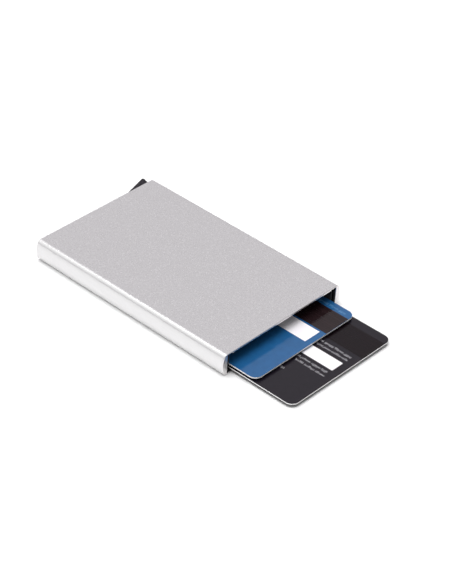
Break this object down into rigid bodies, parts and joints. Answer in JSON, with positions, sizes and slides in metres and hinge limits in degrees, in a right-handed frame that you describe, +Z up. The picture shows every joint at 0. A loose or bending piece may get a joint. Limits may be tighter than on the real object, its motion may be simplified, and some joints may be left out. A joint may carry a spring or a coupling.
{
  "type": "credit card holder",
  "caption": "Rigid aluminium card holder with rounded sides, open at one end, and a corner lever that pushes out the bank cards stored in it.",
  "frame": {"origin": "the middle of the sleeve's flat underside", "axes": "+Y along the sleeve from its open mouth to the lever's end, +Z up out of its upper flat side, +X towards the side that the lever is on"},
  "size_m": [0.063, 0.1304, 0.009],
  "materials": {
    "blasted_aluminium": "bead blasted and anodised clear",
    "black_plastic": "fine textured moulding",
    "lever_plastic": "smooth satin moulding",
    "pin_steel": "ground",
    "spring_steel": "drawn wire",
    "pile": "short black pile",
    "blue_print": "printed film under a clear satin overlay",
    "black_print": "printed film under a clear satin overlay",
    "card_white": "white core with a cut edge",
    "stripe_tape": "smooth dark tape",
    "panel_white": "dull white ink"
  },
  "bodies": {
    "holder": {"case_shell": "blasted_aluminium", "end_block": "black_plastic", "pivot_pin": "pin_steel", "return_spring": "spring_steel", "side_rail_left": "black_plastic", "side_rail_right": "black_plastic", "grip_strip_left": "pile", "grip_strip_right": "pile"},
    "lever": {"ejector_lever": "lever_plastic"},
    "blue_card": {"blue_card_face_film": "blue_print", "blue_card_core": "card_white", "blue_card_back_film": "blue_print", "blue_card_stripe": "stripe_tape", "blue_card_signature_panel": "panel_white"},
    "black_card": {"black_card_face_film": "black_print", "black_card_core": "card_white", "black_card_back_film": "black_print", "black_card_stripe": "stripe_tape", "black_card_signature_panel": "panel_white"}
  },
  "joints": [
    {"name": "lever_pivot", "type": "hinge", "parent": "holder", "child": "lever", "pos_m": [0.017, 0.0432, 0.0045], "axis": [0, 0, 1], "range_deg": [0, 32], "stiffness_Nm_per_rad": 0.015, "springref_deg": -20.05, "deforming": ["return_spring"]},
    {"name": "blue_card_slide", "type": "slide", "parent": "holder", "child": "blue_card", "axis": [0, -1, 0], "range_m": [0, 0.074]},
    {"name": "black_card_slide", "type": "slide", "parent": "holder", "child": "black_card", "axis": [0, -1, 0], "range_m": [-0.007, 0.0568]}
  ]
}
